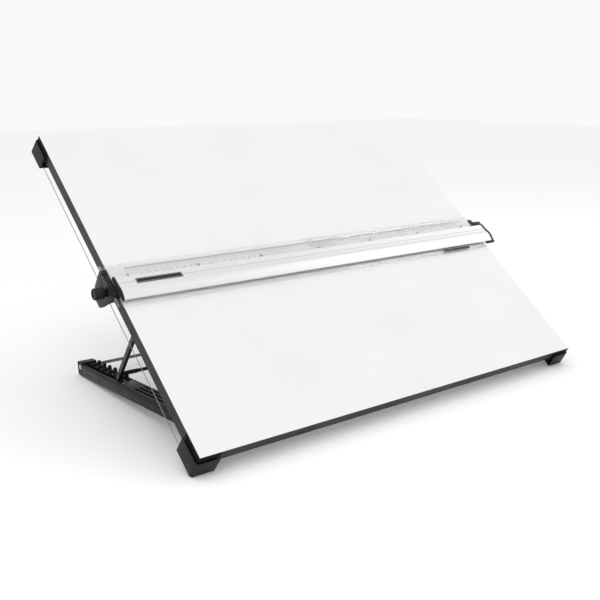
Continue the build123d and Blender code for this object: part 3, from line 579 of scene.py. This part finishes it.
def pale_floor():
    """Seamless studio paper."""
    tone = bpy.context.scene.board_stage.floor_tone
    material, tree, shader, place = new_material("pale_floor", 0.85, Specular_IOR_Level=0.1)
    fibres = noise(tree, place, 6.0, 4.0)
    blend_colours(tree, fibres.outputs["Fac"], (tone, tone, tone), shade((tone,) * 3, 0.985),
                  shader.inputs["Base Color"])
    return material


MATERIALS = {}


def build_materials():
    """Every finish of the object, by the record's slot names, and the ink and the floor."""
    colours = finish()
    moulding = tuple(colours.moulding)
    MATERIALS.update({
        "white_laminate": white_laminate(),
        "grey_backing": plastic("grey_backing", tuple(colours.backing), 0.5, 0.65, 900.0, 0.15, 0.93),
        "particle_board": particle_board(),
        "edge_plastic": plastic("edge_plastic", tuple(colours.band), 0.32, 0.45, 1200.0, 0.12,
                                shine=0.15),
        "black_plastic": plastic("black_plastic", moulding, 0.38, 0.52, 1500.0, 0.25),
        "leg_plastic": plastic("leg_plastic", tuple(colours.leg), 0.36, 0.5, 1500.0, 0.25,
                               shine=0.12),
        "black_steel": plastic("black_steel", shade(moulding, 1.1), 0.28, 0.4, 700.0, 0.12),
        "pulley_plastic": plastic("pulley_plastic", (0.7, 0.69, 0.64), 0.35, 0.5, 1100.0, 0.1, 0.94),
        "zinc_steel": metal("zinc_steel", (0.62, 0.63, 0.65), 0.25, 0.4, 3000.0, 0.2),
        "wire_steel": stranded_wire(),
        # Painted shade: black_rubber is no rubber part. This darker, rougher black goes on the inner
        # skirt of the corner housings and stands for the deep shade in the gap between their outer
        # wall and the board's edge.
        "black_rubber": plastic("black_rubber", (0.005, 0.0045, 0.0055), 0.75, 0.9, 1800.0, 0.4,
                                shine=0.12),
        "yellow_zinc": yellow_zinc(),
        "anodised_aluminium": metal("anodised_aluminium", tuple(colours.anodised), 0.3, 0.4,
                                    3400.0, 0.10, 0.75, 0.95),
        "clear_acrylic": clear_acrylic(),
        "label_black": plastic("label_black", (0.006, 0.006, 0.007), 0.18, 0.26, 600.0, 0.03),
        "glide_felt": pressed_felt(),
        "clamp_brass": metal("clamp_brass", (0.6, 0.43, 0.2), 0.28, 0.42, 2600.0, 0.2),
        "printed_ink": printed_ink(),
        "pale_floor": pale_floor(),
    })


def paint_frame():
    """Give every CAD node the finish of its slot."""
    for subpart in frame["record"]["subparts"]:
        paint(frame["nodes"][subpart["node"]], MATERIALS[subpart["material_slot"]])


# =====================================================================
# Printed scale
# =====================================================================


def printed_bar(x, y, size_x, size_y, level):
    """A printed line: a flat bar with its upper rim drawn in, standing an ink's depth proud."""
    depth = bpy.context.scene.board_scale.ink_depth
    bpy.ops.mesh.primitive_plane_add(size=1.0, location=(x, y, level))
    bar = bpy.context.object
    bar.scale = (size_x, size_y, 1.0)
    bpy.ops.object.transform_apply(location=True, rotation=False, scale=True)
    bpy.ops.object.mode_set(mode="EDIT")
    bpy.ops.mesh.select_all(action="SELECT")
    bpy.ops.mesh.extrude_region_move(TRANSFORM_OT_translate={"value": (0, 0, depth)})
    bpy.ops.object.mode_set(mode="OBJECT")
    return bar


def copies_of(source, places):
    """Copies of a mesh, each with its own mesh, at offsets from the source."""
    made = []
    for offset in places:
        twin = source.copy()
        twin.data = source.data.copy()
        twin.data.transform(Matrix.Translation(offset))
        bpy.context.scene.collection.objects.link(twin)
        made.append(twin)
    return made


def to_board(obj):
    """Lay a piece modelled on the flat onto the tilted board."""
    obj.matrix_world = BOARD_PLACE
    return settle(obj)


def coarsest_step(mark):
    """The widest of the scale's steps that a millimetre mark falls on."""
    return max(step for step in TICK_LENGTHS if mark % step == 0)


def scale_ticks():
    """Millimetre, half-centimetre and centimetre lines behind the figures."""
    sizes = bpy.context.scene.board_scale
    rear = span("clear_scale_plate", UP_BOARD)[1] - TICKS_FROM_REAR
    top = span("clear_scale_plate", NORMAL)[1]
    zero = -WIDTH / 2 + sizes.zero_inset
    lines = []
    last = round(sizes.length / MM)
    for step, length in TICK_LENGTHS.items():
        marks = [mark for mark in range(last + 1) if coarsest_step(mark) == step]
        first = printed_bar(zero, rear - length / 2, sizes.line_width, length, top)
        lines.append(first)
        first.data.transform(Matrix.Translation((marks[0] * MM, 0, 0)))
        lines += copies_of(first, [((mark - marks[0]) * MM, 0, 0) for mark in marks[1:]])
    base = printed_bar(zero + sizes.length / 2, rear, sizes.length, 2 * sizes.line_width, top)
    lines.append(base)
    return to_board(join(lines, "scale_ticks"))


def figure(text, height, x, y, level, bold):
    """One printed number as a thin mesh."""
    bpy.ops.object.text_add(location=(x, y, level))
    number = bpy.context.object
    number.data.body = text
    number.data.size = height * FIGURE_FONT_RATIO
    number.data.align_x = "CENTER"
    number.data.align_y = "CENTER"
    number.data.resolution_u = 2
    number.data.extrude = bpy.context.scene.board_scale.ink_depth / 2
    number.data.offset = bold
    bpy.ops.object.convert(target="MESH")
    return settle(bpy.context.object)


def scale_figures():
    """A number at every centimetre, large at the tens."""
    sizes = bpy.context.scene.board_scale
    rear = span("clear_scale_plate", UP_BOARD)[1]
    top = span("clear_scale_plate", NORMAL)[1] + sizes.ink_depth
    row = rear - FIGURES_FROM_REAR
    zero = -WIDTH / 2 + sizes.zero_inset
    numbers = []
    for centimetre in range(round(sizes.length * 100) + 1):
        tens = centimetre % 10 == 0
        height = sizes.figure_height * (1.0 if tens else SMALL_FIGURE)
        bold = BOLD_OFFSET if tens else 0.0
        x = zero + centimetre / 100
        text = str(centimetre if tens else centimetre % 10)
        deselect_all()
        numbers.append(figure(text, height, x, row, top, bold))
    return to_board(join(numbers, "scale_figures"))


class BOARD_OT_printed_scale(bpy.types.Operator):
    """Print the graduated scale on the clear plate"""

    bl_idname = "drawing_board.printed_scale"
    bl_label = "Printed scale"

    def execute(self, context):
        for piece in (scale_ticks(), scale_figures()):
            install(piece, "rule", MATERIALS["printed_ink"])
        return {"FINISHED"}


# =====================================================================
# Plain label plate
# =====================================================================


def label_border():
    """A thin pale line let in round the rim of the plain label plate."""
    source = frame["nodes"]["label_plate"].data
    left, right = span("label_plate", ACROSS)
    low, high = span("label_plate", UP_BOARD)
    top_point = max(source.vertices, key=lambda v: (v.co - BOARD_CENTRE).dot(NORMAL)).co
    slope = max(source.polygons, key=lambda face: face.normal.dot(NORMAL)).normal
    middle = on_board((left + right) / 2, (low + high) / 2, 0)
    middle += NORMAL * ((top_point - middle).dot(slope) / NORMAL.dot(slope))
    bpy.ops.mesh.primitive_plane_add(size=1.0)
    border = bpy.context.object
    across = slope.cross(ACROSS).normalized()
    turn = Matrix((ACROSS, across, slope)).transposed().to_4x4()
    border.scale = (right - left - 2 * BORDER_INSET, high - low - 2 * BORDER_INSET, 1)
    bpy.ops.object.transform_apply(location=False, rotation=False, scale=True)
    bpy.ops.object.mode_set(mode="EDIT")
    bpy.ops.mesh.select_all(action="SELECT")
    bpy.ops.mesh.inset(thickness=BORDER_LINE)
    bpy.ops.mesh.delete(type="FACE")
    bpy.ops.mesh.select_all(action="SELECT")
    bpy.ops.mesh.extrude_region_move(TRANSFORM_OT_translate={"value": (0, 0, BORDER_PROUD)})
    bpy.ops.object.mode_set(mode="OBJECT")
    border.name = "label_border"
    border.matrix_world = Matrix.Translation(middle) @ turn
    return settle(border)


class BOARD_OT_label(bpy.types.Operator):
    """Border of the plain label plate"""

    bl_idname = "drawing_board.label"
    bl_label = "Label border"

    def execute(self, context):
        install(label_border(), "rule", MATERIALS["pulley_plastic"])
        return {"FINISHED"}


# =====================================================================
# Eased mouldings
# =====================================================================

CORNERS = ("front_left", "front_right", "rear_left", "rear_right")
EASED = {
    "black_plastic": (
        [f"corner_housing_{corner}" for corner in CORNERS]
        + ["guide_left", "guide_right", "brake_knob", "rule_end_cap_right", "rule_end_cap_left",
           "leg_bracket_left", "leg_bracket_right", "prop_clip_left", "prop_clip_right"],
        MOULDING_EASE,
    ),
    "leg_plastic": (["stand_leg_left", "stand_leg_right"], LEG_EASE),
}


class BOARD_OT_mouldings(bpy.types.Operator):
    """Soften the edges of the moulded parts"""

    bl_idname = "drawing_board.mouldings"
    bl_label = "Eased mouldings"

    def execute(self, context):
        steps = context.scene.board_stage.bevel_steps
        for slot, (nodes, width) in EASED.items():
            for name in nodes:
                eased_copy(name, width, steps, MATERIALS[slot])
        return {"FINISHED"}


class BOARD_OT_finishes(bpy.types.Operator):
    """Build every finish and paint the frame with them"""

    bl_idname = "drawing_board.finishes"
    bl_label = "Finishes"

    def execute(self, context):
        build_groups()
        build_materials()
        paint_frame()
        return {"FINISHED"}


# =====================================================================
# Stage
# =====================================================================


def stage_floor():
    bpy.ops.mesh.primitive_plane_add(size=FLOOR_SIZE, location=(0, 0, CAD_BOX[0][2] - FLOOR_GAP))
    floor = bpy.context.object
    floor.name = "studio_floor"
    paint(floor, MATERIALS["pale_floor"])


def soft_light(name, place, power):
    """A large square light aimed at the board."""
    bpy.ops.object.light_add(type="AREA", location=place)
    light = bpy.context.object
    light.name = name
    light.data.shape = "RECTANGLE"
    light.data.size = LIGHT_SIZE
    light.data.size_y = LIGHT_SIZE
    light.data.energy = power
    light.rotation_euler = (Vector(LIGHT_AIM) - Vector(place)).to_track_quat("-Z", "Y").to_euler()


def studio_camera():
    """Camera seen from the front left of the board, aimed level with the standing board."""
    corner = on_board(-WIDTH / 2, span("edge_band_front", UP_BOARD)[0], 0)
    bpy.ops.object.camera_add(location=corner + CAMERA_FROM_CORNER)
    camera = bpy.context.object
    camera.rotation_euler = CAMERA_FORWARD.to_track_quat("-Z", "Y").to_euler()
    camera.data.sensor_width = SENSOR_WIDTH
    camera.data.lens = bpy.context.scene.board_stage.lens
    camera.data.clip_start = 0.01
    bpy.context.scene.camera = camera


def room_light():
    world = bpy.data.worlds.new("studio_room")
    world.use_nodes = True
    back = world.node_tree.nodes["Background"]
    back.inputs["Color"].default_value = (1.0, 1.0, 1.0, 1.0)
    back.inputs["Strength"].default_value = bpy.context.scene.board_stage.ambient
    bpy.context.scene.world = world


class BOARD_OT_stage(bpy.types.Operator):
    """Floor, soft lights and camera"""

    bl_idname = "drawing_board.stage"
    bl_label = "Stage"

    def execute(self, context):
        deselect_all()
        stage_floor()
        room_light()
        key = context.scene.board_stage.key
        soft_light("key_light", KEY_PLACE, key)
        soft_light("fill_light", FILL_PLACE, key * FILL_SHARE)
        studio_camera()
        context.scene.view_settings.view_transform = "Standard"
        return {"FINISHED"}


# =====================================================================
# Panel and registration
# =====================================================================


class BOARD_PT_panel(bpy.types.Panel):
    """Steps that build the drawing board's looks"""

    bl_label = "Drawing board"
    bl_idname = "BOARD_PT_panel"
    bl_space_type = "VIEW_3D"
    bl_region_type = "UI"
    bl_category = "Drawing Board"

    def draw(self, context):
        for step in STEPS:
            self.layout.operator(step.bl_idname)


STEPS = (
    BOARD_OT_finishes,
    BOARD_OT_mouldings,
    BOARD_OT_printed_scale,
    BOARD_OT_label,
    BOARD_OT_stage,
)
SETTINGS = {"board_finish": BoardFinish, "board_scale": ScaleSizes, "board_stage": StageSettings}


def register():
    for cls in (*SETTINGS.values(), *STEPS, BOARD_PT_panel):
        bpy.utils.register_class(cls)
    for name, cls in SETTINGS.items():
        setattr(bpy.types.Scene, name, PointerProperty(type=cls))


def unregister():
    for name in SETTINGS:
        delattr(bpy.types.Scene, name)
    for cls in reversed((*SETTINGS.values(), *STEPS, BOARD_PT_panel)):
        bpy.utils.unregister_class(cls)


def main():
    register()
    bpy.ops.drawing_board.finishes()
    bpy.ops.drawing_board.mouldings()
    bpy.ops.drawing_board.printed_scale()
    bpy.ops.drawing_board.label()
    bpy.ops.drawing_board.stage()


if __name__ == "__main__":
    main()
